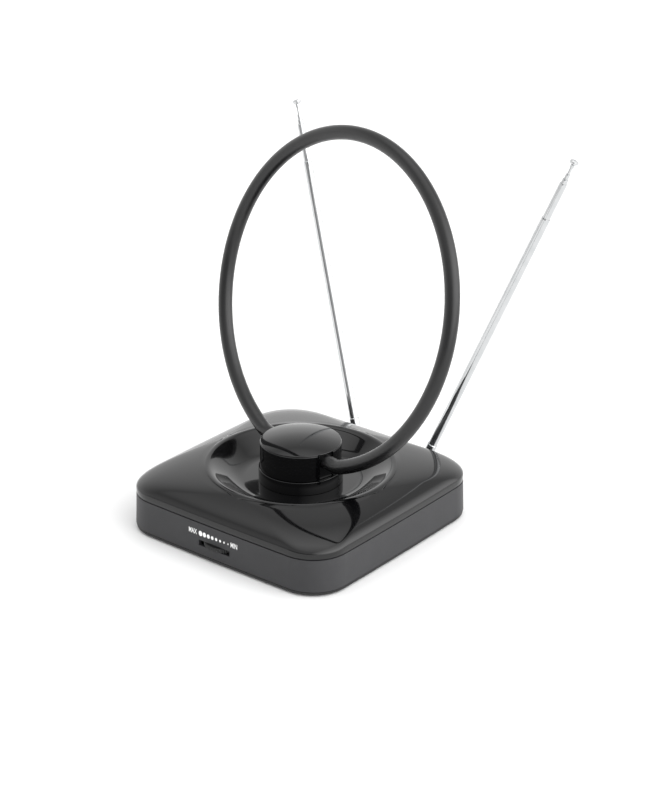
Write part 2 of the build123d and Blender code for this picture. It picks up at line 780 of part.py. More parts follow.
# Antenna outlet: the outer ring of a 9.5 mm coaxial aerial plug, standing out of the rear wall.
outlet_radius = 4.75
outlet_bore = 4.1
outlet_length = 9.0
outlet_shoulder = 0.8
outlet_hollow = 2.0         # the ring's hollow runs this far inside the wall
contact_radius = 1.15
contact_setback = 1.0
contact_point = 0.6
socket_depth = 14.2
with BuildPart() as coax_outlet:
    turned(
        Plane(origin=(socket_x, half_depth, connector_z), x_dir=(1, 0, 0), z_dir=(0, 0, 1)),
        [
            (0, -socket_depth),
            (socket_body_radius, -socket_depth),
            (socket_body_radius, outlet_shoulder),
            (outlet_radius, outlet_shoulder),
            (outlet_radius, outlet_length),
            (outlet_bore, outlet_length),
            (outlet_bore, -outlet_hollow),
            (contact_radius, -outlet_hollow),
            (contact_radius, outlet_length - contact_setback),
            (0, outlet_length - contact_setback + contact_point),
        ],
    )
keep(coax_outlet, "coax_outlet")

jack_depth = 11.0
jack_corner = 0.8
jack_bore = 3.1
jack_bore_depth = 9.0
jack_pin_radius = 1.0
jack_pin_length = 8.4
jack_pin_root = 0.2
with BuildPart() as power_jack:
    with BuildSketch(Plane.XZ.offset(-half_depth + jack_depth)):
        with Locations((jack_x, connector_z)):
            Rectangle(2 * jack_half_width, 2 * jack_half_height)
    extrude(amount=-jack_depth)
    fillet(power_jack.edges().filter_by(Axis.Y), jack_corner)
    with BuildSketch(Plane.XZ.offset(-half_depth)):
        with Locations((jack_x, connector_z)):
            Circle(jack_bore)
    extrude(amount=jack_bore_depth, mode=Mode.SUBTRACT)
    with BuildSketch(Plane.XZ.offset(-half_depth + jack_bore_depth + jack_pin_root)):
        with Locations((jack_x, connector_z)):
            Circle(jack_pin_radius)
    extrude(amount=-jack_pin_length)
keep(power_jack, "power_jack")

# ================================================================ telescopic rods
fork_radius = 5.2
fork_front = half_depth + 1.5
fork_web_gap = 5.6          # from the fork's web to the pin
fork_web = rod_pivot_reach - fork_web_gap
fork_chamfer = 0.6
ear_root = 0.8              # the ears run this far into the web
ear_outer = 3.9
ear_inner = 2.2
ear_radius = 4.3
eye_half = 2.05
eye_radius = 3.7
pin_radius = 1.1
swivel_shaft_radius = 2.5
bush_inner_y = half_depth - wall - 3.0
bush_flange_radius = bush_radius + bush_flange
shaft_tail = 5.0            # the fork's shaft runs this far past the bush
shaft_inner_y = bush_inner_y - shaft_tail
clip_play = 0.05
clip_radius = 5.0
clip_start = 0.8            # clip and spring washer, from the shaft's inner end
clip_end = 1.8
spring_washer_play = 0.15
spring_washer_radius = 4.4
spring_washer_start = 2.2
spring_washer_end = 3.0
press_play = 0.02           # radial, between pieces that are pressed together
rivet_top_radius = 1.7
rivet_radius = 2.1
rivet_height = 1.3
rivet_edge = 0.9
peen_radius = 1.8
peen_height = 0.7
peen_crown = 1.0
socket_start = 5.4
socket_end = 12.0
socket_wall = 0.45
socket_radius = tube_radii[0] + socket_wall
socket_taper = 1.1
socket_edge = 0.5
socket_round = 0.3
neck_overlap = 0.5
tube_start = 8.0
slide_play = 0.08           # radial, between a tube and what slides in it
shoe_taper = 0.4
mouth_taper = 0.7
mouth_turn_in = 0.2
crimp_taper = 0.5
tip_rod_proud = 3.0         # the hidden end of the tip rod is counted from this far past the last mouth
tip_shoe_taper = 0.3
tip_collar_start = 5.4
# Radius, and distance back from the rod's end.
tip_cap_profile = [(1.25, tip_collar_start), (1.35, 3.4), (2.7, 2.3), (2.9, 1.6), (2.7, 0.9), (1.6, 0.3)]
tip_rod_stop = 2.4          # the tip rod ends this far short of its cap's end

for side, side_name in ((-1, "left"), (1, "right")):
    pivot = Vector(side * rod_spread, rod_pivot_reach, rod_pivot_height)
    backwards = Vector(0, 1, 0)
    rod_splay = rod_splays[side_name]
    splayed = Vector(side * sin(radians(rod_splay)), 0, cos(radians(rod_splay)))
    pin_axis = splayed.cross(backwards)
    rod_axis = splayed * cos(radians(rod_lean)) + backwards * sin(radians(rod_lean))
    rod_turning = Plane(origin=pivot, x_dir=pin_axis, z_dir=pin_axis.cross(rod_axis))
    pin_turning = Plane(origin=pivot, x_dir=splayed, z_dir=splayed.cross(pin_axis))
    wall_turning = Plane(
        origin=(pivot.X, 0, pivot.Z), x_dir=(1, 0, 0), z_dir=(0, 0, 1)
    )

    with BuildPart() as swivel_bush:
        turned(
            wall_turning,
            [
                (swivel_shaft_radius + running_clearance, bush_inner_y),
                (bush_radius, bush_inner_y),
                (bush_radius, bush_seat_y),
                (bush_flange_radius, bush_seat_y),
                (bush_flange_radius, fork_front - moving_gap),
                (swivel_shaft_radius + running_clearance, fork_front - moving_gap),
            ],
        )
    keep(swivel_bush, side_name + "_swivel_bush")

    with BuildPart() as swivel_fork:
        turned(
            wall_turning,
            [
                (0, shaft_inner_y),
                (swivel_shaft_radius, shaft_inner_y),
                (swivel_shaft_radius, fork_front),
                (fork_radius, fork_front),
                (fork_radius, fork_web - fork_chamfer),
                (fork_radius - fork_chamfer, fork_web),
                (0, fork_web),
            ],
        )
        for ear in (-1, 1):
            ear_plane = Plane(origin=pivot, x_dir=backwards, z_dir=pin_axis * ear)
            with BuildSketch(ear_plane.offset(ear_inner)):
                Circle(ear_radius)
                with Locations((-(fork_web_gap + ear_root) / 2, 0)):
                    Rectangle(fork_web_gap + ear_root, 2 * ear_radius)
                Circle(pin_radius + press_play, mode=Mode.SUBTRACT)
            extrude(amount=ear_outer - ear_inner)
    keep(swivel_fork, side_name + "_swivel_fork")

    with BuildPart() as shaft_clip:
        turned(
            wall_turning,
            [
                (swivel_shaft_radius + clip_play, shaft_inner_y + clip_start),
                (clip_radius, shaft_inner_y + clip_start),
                (clip_radius, shaft_inner_y + clip_end),
                (swivel_shaft_radius + clip_play, shaft_inner_y + clip_end),
            ],
        )
    keep(shaft_clip, side_name + "_shaft_clip")

    with BuildPart() as spring_washer:
        turned(
            wall_turning,
            [
                (swivel_shaft_radius + spring_washer_play, shaft_inner_y + spring_washer_start),
                (spring_washer_radius, shaft_inner_y + spring_washer_start),
                (spring_washer_radius, shaft_inner_y + spring_washer_end),
                (swivel_shaft_radius + spring_washer_play, shaft_inner_y + spring_washer_end),
            ],
        )
    keep(spring_washer, side_name + "_spring_washer")

    with BuildPart() as pivot_screw:
        turned(
            pin_turning,
            [
                (0, -ear_outer - rivet_height),
                (rivet_top_radius, -ear_outer - rivet_height),
                (rivet_radius, -ear_outer - rivet_edge),
                (rivet_radius, -ear_outer - press_play),
                (pin_radius, -ear_outer - press_play),
                (pin_radius, ear_outer + press_play),
                (peen_radius, ear_outer + press_play),
                (peen_radius, ear_outer + peen_height),
                (0, ear_outer + peen_crown),
            ],
        )
    keep(pivot_screw, side_name + "_pivot_screw")

    with BuildPart() as rod_knuckle:
        with BuildSketch(Plane(origin=pivot - pin_axis * eye_half, x_dir=rod_axis, z_dir=pin_axis)):
            Circle(eye_radius)
            with Locations((socket_start / 2 + neck_overlap, 0)):
                Rectangle(socket_start + 2 * neck_overlap, 2 * eye_half)
            Circle(pin_radius + running_clearance, mode=Mode.SUBTRACT)
        extrude(amount=2 * eye_half)
        turned(
            rod_turning,
            [
                (0, socket_start),
                (eye_half, socket_start),
                (socket_radius, socket_start + socket_taper),
                (socket_radius, socket_end - socket_edge),
                (socket_radius - socket_round, socket_end),
                (tube_radii[0] + press_play, socket_end),
                (tube_radii[0] + press_play, tube_start),
                (0, tube_start),
            ],
        )
    keep(rod_knuckle, side_name + "_rod_knuckle")

    for number, radius in enumerate(tube_radii):
        mouth = mouth_stations[number]
        inner = radius - tube_wall
        inside = tube_radii[number + 1] if number + 1 < len(tube_radii) else tip_rod_radius
        tail = tube_start if number == 0 else mouth - tube_lengths[number]
        outside_inner = tube_radii[number - 1] - tube_wall if number else 0
        shoe = outside_inner - slide_play if number else radius
        with BuildPart() as rod_tube:
            turned(
                rod_turning,
                [
                    (inner, tail),
                    (shoe, tail),
                    (shoe, tail + shoe_length),
                    (radius, tail + shoe_length + shoe_taper),
                    (radius, mouth - mouth_taper),
                    (radius - mouth_turn_in, mouth),
                    (inside + slide_play, mouth),
                    (inside + slide_play, mouth - crimp_length),
                    (inner, mouth - crimp_length - crimp_taper),
                ],
            )
        keep(rod_tube, side_name + "_rod_tube_" + str(number + 1))

    tip_tail = mouth_stations[-1] + tip_rod_proud - tip_rod_length
    tip_shoe = tube_radii[-1] - tube_wall - slide_play
    tip_end = rod_length - tip_rod_stop
    with BuildPart() as tip_rod:
        turned(
            rod_turning,
            [
                (0, tip_tail),
                (tip_shoe, tip_tail),
                (tip_shoe, tip_tail + shoe_length),
                (tip_rod_radius, tip_tail + shoe_length + tip_shoe_taper),
                (tip_rod_radius, tip_end),
                (0, tip_end),
            ],
        )
    keep(tip_rod, side_name + "_tip_rod")

    with BuildPart() as tip_cap:
        turned(
            rod_turning,
            [
                (tip_rod_radius + press_play, rod_length - tip_collar_start),
                *[(radius, rod_length - back) for radius, back in tip_cap_profile],
                (0, rod_length),
                (0, tip_end + 2 * press_play),
                (tip_rod_radius + press_play, tip_end + 2 * press_play),
            ],
        )
    keep(tip_cap, side_name + "_tip_cap")

os.makedirs("parts", exist_ok=True)
for name, piece in parts.items():
    export_step(piece, "parts/" + name + ".step")
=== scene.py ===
"""Looks of the indoor television antenna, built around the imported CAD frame.

Metres. +Z is up and -Y is the front. Shapes are worked out as whole numpy arrays: a profile turned
about an axis, a profile carried round the base's outline, or a circle carried along the loop.
"""
import json

import bmesh
import bpy
import numpy as np
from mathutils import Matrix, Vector


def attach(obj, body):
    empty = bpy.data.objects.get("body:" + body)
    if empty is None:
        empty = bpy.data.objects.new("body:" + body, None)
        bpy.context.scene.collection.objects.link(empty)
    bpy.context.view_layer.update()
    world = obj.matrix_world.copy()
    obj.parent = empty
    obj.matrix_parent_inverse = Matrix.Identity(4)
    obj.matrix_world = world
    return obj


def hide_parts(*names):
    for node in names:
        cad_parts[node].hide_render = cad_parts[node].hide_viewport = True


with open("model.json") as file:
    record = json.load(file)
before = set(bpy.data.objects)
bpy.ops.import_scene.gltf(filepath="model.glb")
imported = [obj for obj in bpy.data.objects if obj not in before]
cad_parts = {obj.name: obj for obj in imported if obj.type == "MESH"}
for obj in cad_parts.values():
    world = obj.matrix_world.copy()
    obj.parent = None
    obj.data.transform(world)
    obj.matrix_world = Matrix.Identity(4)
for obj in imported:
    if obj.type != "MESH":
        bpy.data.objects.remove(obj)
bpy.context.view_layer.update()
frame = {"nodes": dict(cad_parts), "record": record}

MM = 0.001

# ------------------------------------------------------------------ sizes, in millimetres
HALF_WIDTH = 80.0
HALF_DEPTH = 81.0
CORNER = 24.0
BULGE = 1.0
SHELL_BOTTOM = 3.3
SHELL_TOP = 23.8
DRAFT = 0.5
COVER_BOTTOM = 24.4
CROWN = 38.8
DISH_RADIUS = 60.0
DISH_DEPTH = 10.4
PEDESTAL_RADIUS = 26.4
TURRET_RADIUS = 25.4
SEAM = 37.2
TURRET_TOP = 53.5
CAP_HEIGHT = 4.2
LOOP_RADIUS = 102.0
LOOP_CENTRE = 96.0
LOOP_FOOT = 18.5
LOOP_TUBE = 4.55
LOOP_SUNK = 7.9
TILT_HEIGHT = 48.0
LOOP_LEAN = np.radians(15.0)
TURRET_TURN = np.radians(-11.5)
WHEEL_X = -1.5
WHEEL_Y = -69.0
WHEEL_Z = 11.0
WHEEL_RADIUS = 14.0
WHEEL_THICKNESS = 2.6


# ------------------------------------------------------------------ materials
def colour(code):
    """Turn an sRGB hex code into the linear colour that a shader reads."""
    part = np.array([int(code[i:i + 2], 16) for i in (1, 3, 5)]) / 255.0
    linear = np.where(part <= 0.04045, part / 12.92, ((part + 0.055) / 1.055) ** 2.4)
    return (*linear.tolist(), 1.0)


def add(tree, kind, settings=None, **inputs):
    """Add a node, set its properties and link or fill its inputs, named with _ for a space."""
    node = tree.nodes.new(kind)
    for key, value in (settings or {}).items():
        setattr(node, key, value)
    for key, value in inputs.items():
        socket = node.inputs[int(key[1:]) if key[1:].isdigit() else key.replace("_", " ")]
        if isinstance(value, bpy.types.NodeSocket):
            tree.links.new(value, socket)
        else:
            socket.default_value = value
    return node


def new_material(name, **shader):
    """Start a material: its node tree, its shader with constant sockets set, and object coordinates."""
    material = bpy.data.materials.new(name)
    material.use_nodes = True
    tree = material.node_tree
    tree.nodes.clear()
    bsdf = add(tree, "ShaderNodeBsdfPrincipled", **shader)
    add(tree, "ShaderNodeOutputMaterial", Surface=bsdf.outputs[0])
    place = add(tree, "ShaderNodeTexCoord").outputs["Object"]
    return material, tree, bsdf, place


def link(tree, out, bsdf, name):
    """Join an output to one of the shader's sockets."""
    tree.links.new(out, bsdf.inputs[name])


def ramp(tree, factor, stops):
    """A colour ramp through (position, hex colour) stops."""
    node = add(tree, "ShaderNodeValToRGB", Fac=factor)
    while len(node.color_ramp.elements) < len(stops):
        node.color_ramp.elements.new(0.5)
    for element, (position, code) in zip(node.color_ramp.elements, stops):
        element.position = position
        element.color = colour(code)
    return node.outputs["Color"]


def remap(tree, value, low, high, from_low=0.0, from_high=1.0):
    """Spread a value between low and high."""
    node = add(
        tree, "ShaderNodeMapRange",
        Value=value, From_Min=from_low, From_Max=from_high, To_Min=low, To_Max=high,
    )
    return node.outputs["Result"]


def grain(tree, place, size_mm, detail=2.0, stretch=(1.0, 1.0, 1.0)):
    """Noise whose lumps are size_mm across, drawn out along an axis by a stretch below 1."""
    at = add(tree, "ShaderNodeMapping", Vector=place, Scale=stretch).outputs[0]
    node = add(tree, "ShaderNodeTexNoise", Vector=at, Scale=1.0 / (size_mm * MM), Detail=detail)
    return node.outputs[0]


def bump(tree, bsdf, height, distance_mm, strength=1.0):
    """Raise the surface by a height pattern, distance_mm deep."""
    node = add(tree, "ShaderNodeBump", Height=height, Distance=distance_mm * MM, Strength=strength)
    link(tree, node.outputs[0], bsdf, "Normal")


def piano_black_abs():
    """Black ABS moulded against a polished tool: a mirror gloss with a faint long orange peel."""
    material, tree, bsdf, place = new_material("piano_black_abs", IOR=1.5)
    link(tree, ramp(tree, grain(tree, place, 22), [(0.3, "#060607"), (0.75, "#0a0a0b")]), bsdf, "Base Color")
    link(tree, remap(tree, grain(tree, place, 6.0, 3.0), 0.03, 0.075), bsdf, "Roughness")
    bump(tree, bsdf, grain(tree, place, 9.0, 1.0), 0.004)
    return material


def textured_grey_abs():
    """Charcoal ABS from a spark-eroded tool: a fine even pebble, soft sheen and no clear reflection."""
    material, tree, bsdf, place = new_material("spark_textured_abs", IOR=1.5)
    fine = grain(tree, place, 0.45, 3.0)
    link(tree, ramp(tree, grain(tree, place, 14), [(0.3, "#28282a"), (0.7, "#2c2c2e")]), bsdf, "Base Color")
    link(tree, remap(tree, fine, 0.42, 0.62), bsdf, "Roughness")
    bump(tree, bsdf, fine, 0.035, 0.6)
    return material


def moulded_black_abs():
    """Plain black ABS with a light matt from its tool: grainy, a little worn to a sheen."""
    material, tree, bsdf, place = new_material("moulded_black_abs", IOR=1.5)
    link(tree, ramp(tree, grain(tree, place, 8), [(0.3, "#121213"), (0.7, "#191919")]), bsdf, "Base Color")
    fine = grain(tree, place, 0.5, 2.0)
    link(tree, remap(tree, fine, 0.38, 0.55), bsdf, "Roughness")
    bump(tree, bsdf, fine, 0.02, 0.5)
    return material


def satin_sleeve():
    """Black PVC sleeve drawn over the loop: a satin with faint lines running along the tube."""
    material, tree, bsdf, place = new_material("satin_pvc_sleeve", IOR=1.52)
    along = add(tree, "ShaderNodeUVMap").outputs[0]
    lines = grain(tree, along, 1.0, 2.0, (0.02, 0.9, 1.0))
    link(tree, ramp(tree, grain(tree, place, 12), [(0.3, "#0c0c0d"), (0.7, "#101011")]), bsdf, "Base Color")
    link(tree, remap(tree, grain(tree, place, 2.5, 3.0), 0.26, 0.36), bsdf, "Roughness")
    bump(tree, bsdf, lines, 0.012, 0.5)
    return material


def bright_chrome():
    """Chrome plate on drawn brass tube: a clear mirror, a little softened along its drawing lines."""
    material, tree, bsdf, place = new_material("chrome_plated_brass", Metallic=1.0)
    link(tree, ramp(tree, grain(tree, place, 5), [(0.3, "#c3c5c6"), (0.7, "#cccdce")]), bsdf, "Base Color")
    link(tree, remap(tree, grain(tree, place, 0.8, 2.0, (1, 1, 0.03)), 0.04, 0.12), bsdf, "Roughness")
    return material


def metal(name, light, dark, rough, size_mm):
    """A worked metal: two tones, a roughness range and the size of its marks in millimetres."""
    material, tree, bsdf, place = new_material(name, Metallic=1.0)
    marks = grain(tree, place, size_mm, 3.0)
    link(tree, ramp(tree, marks, [(0.3, dark), (0.7, light)]), bsdf, "Base Color")
    link(tree, remap(tree, marks, *rough), bsdf, "Roughness")
    bump(tree, bsdf, marks, 0.01, 0.4)
    return material


def moulded_rubber():
    """Black moulded rubber: dull, slightly dusty, with a fine pimple."""
    material, tree, bsdf, place = new_material("moulded_rubber", IOR=1.5)
    link(tree, ramp(tree, grain(tree, place, 3), [(0.3, "#161616"), (0.7, "#202020")]), bsdf, "Base Color")
    link(tree, remap(tree, grain(tree, place, 0.6, 2.0), 0.7, 0.9), bsdf, "Roughness")
    bump(tree, bsdf, grain(tree, place, 0.6, 2.0), 0.03, 0.6)
    return material


def solder_mask():
    """Glass-epoxy board under green solder mask, with the weave just showing."""
    material, tree, bsdf, place = new_material("green_solder_mask", IOR=1.5)
    weave = add(tree, "ShaderNodeTexChecker", Vector=place, Scale=1.0 / (1.2 * MM)).outputs["Color"]
    link(tree, ramp(tree, weave, [(0.0, "#0b3b1d"), (1.0, "#0f4724")]), bsdf, "Base Color")
    link(tree, remap(tree, grain(tree, place, 2.0), 0.25, 0.4), bsdf, "Roughness")
    return material


def scale_ink():
    """White pad-printed ink: matt and very slightly uneven."""
    material, tree, bsdf, place = new_material("white_pad_print", IOR=1.45)
    link(tree, ramp(tree, grain(tree, place, 0.6), [(0.2, "#f0f0ee"), (0.7, "#ffffff")]), bsdf, "Base Color")
    link(tree, remap(tree, grain(tree, place, 0.4), 0.5, 0.7), bsdf, "Roughness")
    return material


# ------------------------------------------------------------------ surfaces
def mesh_piece(name, verts, faces, material, body, hides=(), sharp=35.0, uv=None):
    """Make a piece from points in millimetres and faces, merge its doubles and, where it is closed, turn
    its faces outwards.

    Edges sharper than the given angle stay crisp. The piece rides on a body and hides its CAD nodes.
    """
    mesh = bpy.data.meshes.new(name)
    mesh.from_pydata((np.asarray(verts) * MM).tolist(), [], faces)
    if uv is not None:
        layer = mesh.uv_layers.new(name="along")
        loops = np.empty(len(mesh.loops), dtype=np.int64)
        mesh.loops.foreach_get("vertex_index", loops)
        layer.data.foreach_set("uv", (np.asarray(uv)[loops] * MM).astype(np.float32).ravel())
    work = bmesh.new()
    work.from_mesh(mesh)
    bmesh.ops.remove_doubles(work, verts=work.verts, dist=1e-6)
    bmesh.ops.dissolve_degenerate(work, edges=work.edges, dist=1e-7)
    bmesh.ops.recalc_face_normals(work, faces=work.faces)
    work.to_mesh(mesh)
    work.free()
    mesh.shade_smooth()
    mesh.set_sharp_from_angle(angle=np.radians(sharp))
    piece = bpy.data.objects.new(name, mesh)
    bpy.context.scene.collection.objects.link(piece)
    mesh.materials.append(material)
    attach(piece, body)
    if hides:
        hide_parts(*hides)
    return piece


def grid_faces(rows, columns, close_rows, close_columns):
    """Quads between neighbours of a grid of points, joined up across its ends where it closes."""
    index = np.arange(rows * columns).reshape(rows, columns)
    if close_rows:
        index = np.vstack([index, index[:1]])
    if close_columns:
        index = np.hstack([index, index[:, :1]])
    quads = np.stack([index[:-1, :-1], index[:-1, 1:], index[1:, 1:], index[1:, :-1]], -1)
    return quads.reshape(-1, 4).tolist()


def rounded(corners, radii, steps=6):
    """A profile through corners, each turned by an arc of its radius: the arc runs between the two
    points that lie r * tan(turn / 2) from the corner, as a blend of the two tangent lines."""
    corners = np.asarray(corners, float)
    radii = np.broadcast_to(radii, len(corners))
    out = [corners[:1]]
    for before, here, after, radius in zip(corners, corners[1:], corners[2:], radii[1:-1]):
        a, b = before - here, after - here
        reach_a, reach_b = np.linalg.norm(a), np.linalg.norm(b)
        a, b = a / reach_a, b / reach_b
        half = np.arccos(np.clip(a @ b, -1, 1)) / 2
        if radius <= 0 or half < 1e-3:
            out.append(here[None])
            continue
        back = min(radius / np.tan(half), 0.49 * reach_a, 0.49 * reach_b)
        radius = back * np.tan(half)
        middle = here + (a + b) / np.linalg.norm(a + b) * radius / np.sin(half)
        start, end = here + a * back - middle, here + b * back - middle
        t = np.linspace(0, 1, steps + 1)[:, None]
        sweep = np.pi - 2 * half
        out.append(middle + (np.sin((1 - t) * sweep) * start + np.sin(t * sweep) * end) / np.sin(sweep))
    out.append(corners[-1:])
    return np.vstack(out)


def turned(name, profile, origin, axis, material, body, hides=(), count=96, sharp=35.0):
    """A lathe surface: the point at angle u and profile step v is origin + axis * h(v) + r(v) * (cos u,
    sin u) in the plane square to the axis."""
    profile = np.asarray(profile, float)
    axis = np.asarray(axis, float) / np.linalg.norm(axis)
    side = np.cross(axis, (0.0, 0.0, 1.0) if abs(axis[2]) < 0.9 else (1.0, 0.0, 0.0))
    side /= np.linalg.norm(side)
    third = np.cross(axis, side)
    u = np.linspace(0, 2 * np.pi, count, endpoint=False)
    ring = np.cos(u)[:, None] * side + np.sin(u)[:, None] * third
    points = np.asarray(origin) + profile[:, None, 1:] * axis + profile[:, None, :1] * ring
    closed = np.allclose(profile[0], profile[-1])
    if closed:
        points = points[:-1]
    faces = grid_faces(len(points), count, closed, True)
    return mesh_piece(name, points.reshape(-1, 3), faces, material, body, hides, sharp)


def outline(half_x, half_y, bulge, radius, steps=14):
    """A bowed square with rounded corners, as points and the directions they face.

    Each side is an arc of radius R = (L^2 + s^2) / 2s that bows out by s over half length L. Each
    corner is an arc tangent to its two sides, so its centre lies R - r from both of their centres. A
    point is its arc's centre plus its radius times the direction that it faces.
    """
    big_x = (half_x**2 + bulge**2) / (2 * bulge)
    big_y = (half_y**2 + bulge**2) / (2 * bulge)
    front = np.array([0.0, half_y + bulge - big_x])
    right = np.array([half_x + bulge - big_y, 0.0])
    corner = np.array([half_x - radius, half_y - radius])
    for _ in range(40):
        for centre, big in ((front, big_x), (right, big_y)):
            away = corner - centre
            corner = centre + away * (big - radius) / np.linalg.norm(away)
    end_y = np.arctan2(*(corner - front)[::-1])
    end_x = np.arctan2(*(corner - right)[::-1])
    blocks = []
    for centre, reach, low, high in (
        (right, big_y, 0.0, end_x), (corner, radius, end_x, end_y), (front, big_x, end_y, np.pi / 2),
    ):
        facing = np.linspace(low, high, steps + 1)[:-1]
        face = np.stack([np.cos(facing), np.sin(facing)], 1)
        blocks.append(centre + reach * face)
    quarter = np.vstack([*blocks, [[0.0, half_y + bulge]]])
    half = np.vstack([quarter, (quarter[::-1] * (-1, 1))[1:]])
    return np.vstack([half, (half[::-1] * (1, -1))[1:-1]])


# ------------------------------------------------------------------ the object's materials
GLOSS = piano_black_abs()
SHELL = textured_grey_abs()
MOULDED = moulded_black_abs()
SLEEVE = satin_sleeve()
CHROME = bright_chrome()
RUBBER = moulded_rubber()
BOARD = solder_mask()
INK = scale_ink()
# Passivated screws: bluish white with a soft sheen.
ZINC = metal("zinc_plated_steel", "#c9cbcc", "#a5a7a8", (0.25, 0.4), 0.7)
# Satin plate, a little warm.
NICKEL = metal("nickel_plated_brass", "#d9d4c8", "#c2bdb2", (0.18, 0.3), 0.8)
# Rolled spring strip: coppery, with a dull shine.
BRONZE = metal("phosphor_bronze_strip", "#c9925a", "#a8763f", (0.25, 0.4), 0.5)
# Bright rolled sheet.
TIN = metal("tinplate", "#d2d4d4", "#bcbebe", (0.2, 0.35), 1.5)
# Hot rolled plate: dark grey and dull.
PLATE = metal("hot_rolled_steel", "#7c7d7e", "#5d5e5f", (0.45, 0.65), 1.2)

by_slot = {
    "shell_plastic": SHELL, "gloss_black": GLOSS, "plate_plastic": MOULDED, "rubber_black": RUBBER,
    "screw_steel": ZINC, "loop_black": SLEEVE, "rod_chrome": CHROME, "board_green": BOARD,
    "tinplate": TIN, "ballast_steel": PLATE, "nickel": NICKEL, "phosphor_bronze": BRONZE,
    "moulded_black": MOULDED,
}
for subpart in frame["record"]["subparts"]:
    node = frame["nodes"][subpart["node"]]
    node.data.materials.clear()
    node.data.materials.append(by_slot[subpart["material_slot"]])

# ------------------------------------------------------------------ cover
RIM_DROP = 0.2
BAND = 3.0
CROWN_FALL = CROWN - COVER_BOTTOM - RIM_DROP - BAND
SLOPE_FALL = 5.8
SHOULDER_POWER = 4
DISH_FLOOR = CROWN - DISH_DEPTH


def crown_row(share):
    """The crown's plan and height at a share of the way from the dish's rim to the edge band: half
    lengths and corner radius change evenly, and the fall is a * t + b * (1 - sqrt(1 - t^4))."""
    fall = SLOPE_FALL * share + (CROWN_FALL - SLOPE_FALL) * (1 - np.sqrt(1 - share**SHOULDER_POWER))
    half_x = DISH_RADIUS + (HALF_WIDTH - DRAFT - BULGE - DISH_RADIUS) * share
    half_y = DISH_RADIUS + (HALF_DEPTH - DRAFT - BULGE - DISH_RADIUS) * share
    radius = DISH_RADIUS + (CORNER - DISH_RADIUS) * share
    plan = outline(half_x, half_y, max(share * BULGE, 1e-3), radius)
    return np.hstack([plan, np.full((len(plan), 1), CROWN - RIM_DROP - fall)])


def cover_surface():
    """Rows from the edge band's inside up over the crown and down the dish. The dish is turned: its
    height is the running sum of a slope that changes evenly between stations. This is the cover's
    outer skin only: it is open under the pedestal and inside the edge, and has no underside."""
    edge = crown_row(1.0)
    inside = crown_row(1.0) * (0.97, 0.97, 0) + (0, 0, COVER_BOTTOM)
    lip = [(0.985, 0.0), (0.996, 0.0), (0.999, 0.12), (1.0, 0.4), (1.0, BAND * 0.6)]
    rows = [inside + (0, 0, 1.5), inside]
    rows += [edge * (k, k, 0) + (0, 0, COVER_BOTTOM + z) for k, z in lip]
    shares = np.sin(np.linspace(np.pi / 2, 0, 44)) ** 0.75
    rows += [crown_row(share) for share in shares[:-1]]
    polar = np.arctan2(edge[:, 1], edge[:, 0])
    circle = np.stack([np.cos(polar), np.sin(polar), np.zeros(len(polar))], 1)
    radius = np.linspace(DISH_RADIUS, PEDESTAL_RADIUS - 0.8, 90)
    stations = (PEDESTAL_RADIUS, 35.0, 38.5, 42.0, 46.0, 54.0, 56.0, 58.6, DISH_RADIUS)
    slope = np.interp(radius, stations, (0, 0, 0.15, 0.36, 0.56, 0.57, 0.43, 0.0, -0.267))
    step = np.diff(radius) * (slope[1:] + slope[:-1]) / 2
    height = CROWN - RIM_DROP + np.concatenate([[0.0], np.cumsum(step)])
    drop = (CROWN - DISH_FLOOR) / (height.max() - height.min())
    height = CROWN - (height.max() - height) * drop
    rows += [circle * r + (0, 0, h) for r, h in zip(radius, height)]
    return np.stack(rows)


cover_points = cover_surface()
mesh_piece(
    "cover_shell", cover_points.reshape(-1, 3),
    grid_faces(len(cover_points), cover_points.shape[1], False, True),
    GLOSS, "base", ["top_cover"], 40.0,
)

# ------------------------------------------------------------------ pedestal and turret cap
# The drum's outside, roof and collar. The screw posts hidden inside it are left out.
DRUM_TOP = SEAM - 0.4
DRUM_FOOT = DISH_FLOOR + 0.05
DRUM_INSIDE = PEDESTAL_RADIUS - 2.2
DRUM_ROOF = SEAM - 2.8
STEM_BORE = 8.06
COLLAR_RADIUS = 10.4
COLLAR_FOOT = DISH_FLOOR + 3.0
drum_corners = [
    (STEM_BORE, DRUM_TOP), (PEDESTAL_RADIUS, DRUM_TOP), (PEDESTAL_RADIUS, DRUM_FOOT),
    (DRUM_INSIDE, DRUM_FOOT), (DRUM_INSIDE, DRUM_ROOF), (COLLAR_RADIUS, DRUM_ROOF),
    (COLLAR_RADIUS, COLLAR_FOOT), (STEM_BORE, COLLAR_FOOT), (STEM_BORE, DRUM_TOP),
]
drum_rounds = [0, 0.3, 0.2, 0.2, 1.0, 1.0, 0.2, 0, 0]
turned("pedestal_drum", rounded(drum_corners, drum_rounds), (0, 0, 0), (0, 0, 1), GLOSS, "base",
       ["pedestal"], 128)

CAP_SEAT = TURRET_TOP + 0.1
CAP_RADIUS = TURRET_RADIUS - 0.3
CAP_EDGE = 0.6
CAP_ROUND = 0.7
REGISTER_RADIUS = TURRET_RADIUS - 2.4
REGISTER_WALL = 1.4
REGISTER_DEPTH = 0.7


